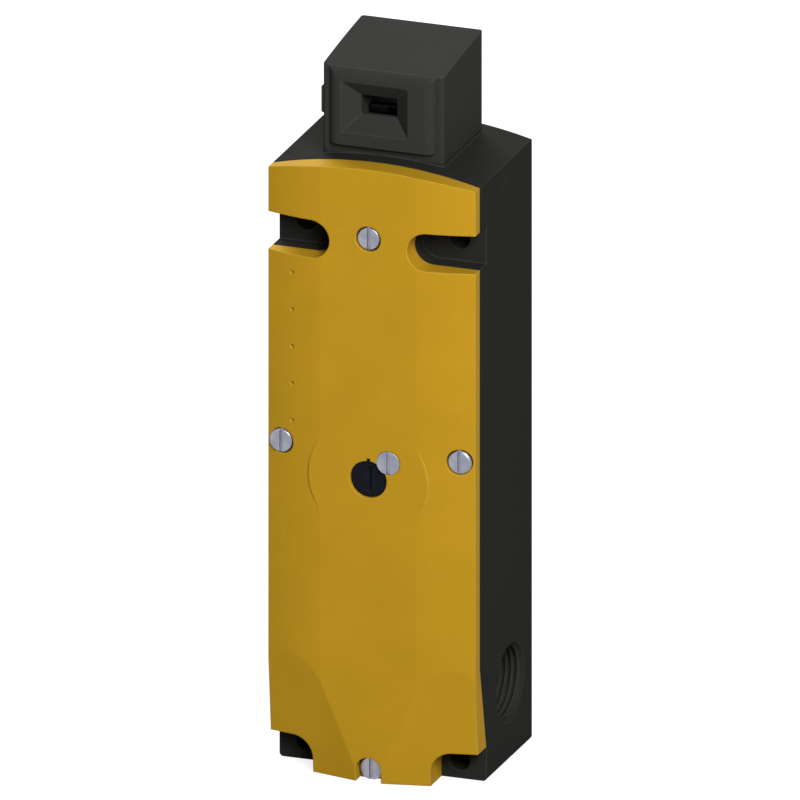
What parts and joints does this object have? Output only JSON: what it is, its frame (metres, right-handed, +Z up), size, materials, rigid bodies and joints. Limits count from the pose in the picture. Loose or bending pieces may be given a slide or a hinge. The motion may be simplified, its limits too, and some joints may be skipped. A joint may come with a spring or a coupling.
{
  "type": "safety interlock switch",
  "caption": "Upright safety interlock switch with a turnable head that takes a separate key, a solenoid lock, a front release disc and side cable entries.",
  "frame": {"origin": "centre of the foot, on the plane that the case stands on, half way between the back face and the front of the cover", "axes": "+Z up towards the head, +Y out of the mounting back, -Y out of the front cover, +X across"},
  "size_m": [0.054, 0.0432, 0.185],
  "materials": {
    "case_black": "fine moulded texture",
    "head_black": "fine moulded texture",
    "cover_yellow": "satin moulded plastic",
    "release_black": "smooth moulded plastic",
    "screw_steel": "zinc plated",
    "steel": "plain steel",
    "seal_rubber": "matt rubber",
    "inner_white": "natural moulded plastic",
    "inner_grey": "grey moulded plastic",
    "brass": "stamped strip",
    "copper": "enamelled wire"
  },
  "bodies": {
    "case": {"armature_spring": "steel", "chassis": "inner_grey", "chassis_screws": "screw_steel", "coil_bobbin": "inner_white", "coil_winding": "copper", "contact_block_1": "inner_grey", "contact_block_2": "inner_grey", "contact_spring_1": "steel", "contact_spring_2": "steel", "cover": "cover_yellow", "cover_gasket": "seal_rubber", "cover_screw_foot": "screw_steel", "cover_screw_left": "screw_steel", "cover_screw_right": "screw_steel", "cover_screw_top": "screw_steel", "fixed_contacts_1": "brass", "fixed_contacts_2": "brass", "fixed_core": "steel", "guide_bush_lower": "inner_white", "guide_bush_upper": "inner_white", "housing": "case_black", "lever_pin": "steel", "plunger_spring": "steel", "seal_screw": "screw_steel", "solenoid_yoke": "steel", "supply_screws": "brass", "supply_terminals": "inner_grey", "terminal_screws_1": "screw_steel", "terminal_screws_2": "screw_steel"},
    "head": {"head_casing": "head_black", "key_plate": "head_black", "head_ring": "steel", "head_seal": "seal_rubber", "side_plug": "head_black"},
    "key_cam": {"plunger_cam": "steel", "key_disc_left": "steel", "key_disc_right": "steel", "cam_shaft": "steel"},
    "plunger_rod": {"plunger": "inner_white", "lock_collar": "steel", "cross_bar": "inner_white"},
    "tappets": {"contact_tappet_1": "inner_white", "contact_tappet_2": "inner_white", "contact_bridge_1": "brass", "contact_bridge_2": "brass"},
    "release": {"release_rotor": "release_black", "release_seal": "seal_rubber"},
    "slider": {"release_slider": "steel"},
    "lever": {"lock_lever": "steel"},
    "armature_rod": {"armature": "steel"}
  },
  "joints": [
    {"name": "head_turn", "type": "hinge", "parent": "case", "child": "head", "pos_m": [0, 0.0033, 0.16], "axis": [0, 0, 1], "range_deg": [-90, 180]},
    {"name": "cam_turn", "type": "hinge", "parent": "head", "child": "key_cam", "pos_m": [0, 0.0033, 0.17], "axis": [-1, 0, 0], "range_deg": [0, 60]},
    {"name": "plunger_slide", "type": "slide", "parent": "case", "child": "plunger_rod", "axis": [0, 0, 1], "range_m": [0, 0.0025], "deforming": ["plunger_spring"]},
    {"name": "tappet_slide", "type": "slide", "parent": "case", "child": "tappets", "axis": [0, 0, 1], "range_m": [0, 0.0025], "deforming": ["contact_spring_1", "contact_spring_2"]},
    {"name": "release_turn", "type": "hinge", "parent": "case", "child": "release", "pos_m": [0, -0.018, 0.079], "axis": [0, -1, 0], "range_deg": [0, 90]},
    {"name": "slider_lift", "type": "slide", "parent": "case", "child": "slider", "axis": [0, 0, 1], "range_m": [0, 0.0012]},
    {"name": "lever_turn", "type": "hinge", "parent": "case", "child": "lever", "pos_m": [-0.007, -0.0065, 0.121], "axis": [0, -1, 0], "range_deg": [0, 10]},
    {"name": "armature_slide", "type": "slide", "parent": "case", "child": "armature_rod", "axis": [0, 0, -1], "range_m": [0, 0.00075], "stiffness_N_per_m": 250, "springref_m": -0.0016, "deforming": ["armature_spring"]}
  ],
  "couplings": [
    {"joint": "cam_turn", "follows": "plunger_slide", "rad_per_m": 418.87},
    {"joint": "tappet_slide", "follows": "plunger_slide", "ratio": 1},
    {"joint": "release_turn", "follows": "slider_lift", "rad_per_m": 1308.9},
    {"joint": "lever_turn", "follows": "slider_lift", "rad_per_m": 145.4},
    {"joint": "armature_slide", "follows": "slider_lift", "ratio": 0.625}
  ]
}
